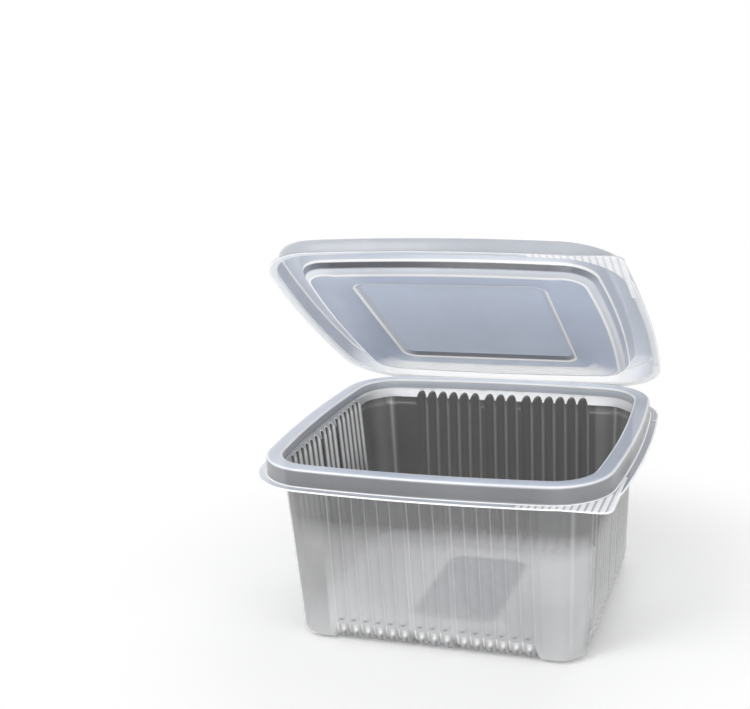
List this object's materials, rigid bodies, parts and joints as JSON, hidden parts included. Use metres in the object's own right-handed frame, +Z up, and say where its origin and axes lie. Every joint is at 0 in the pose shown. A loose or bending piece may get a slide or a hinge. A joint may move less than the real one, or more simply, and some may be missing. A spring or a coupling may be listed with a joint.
{
  "type": "hinged food tub",
  "caption": "Clear thermoformed food tub with fluted walls, hollow rim bead, corner grip tab and a lid on a living hinge that stands part open.",
  "frame": {"origin": "on the surface the tub stands on, midway between the tub's outer edges", "axes": "+X to the right seen from the front, +Y to the back where the lid is hinged, +Z up"},
  "size_m": [0.14, 0.1393, 0.1501],
  "materials": {
    "clear_plastic": "glossy, slightly cloudy"
  },
  "bodies": {
    "tub": {"tub": "clear_plastic"},
    "lid": {"lid": "clear_plastic"}
  },
  "joints": [
    {"name": "lid_hinge", "type": "hinge", "parent": "tub", "child": "lid", "pos_m": [0, 0.0695, 0.06465], "axis": [-1, 0, 0], "range_deg": [-36, 144], "stiffness_Nm_per_rad": 0.05, "springref_deg": 5.16}
  ]
}
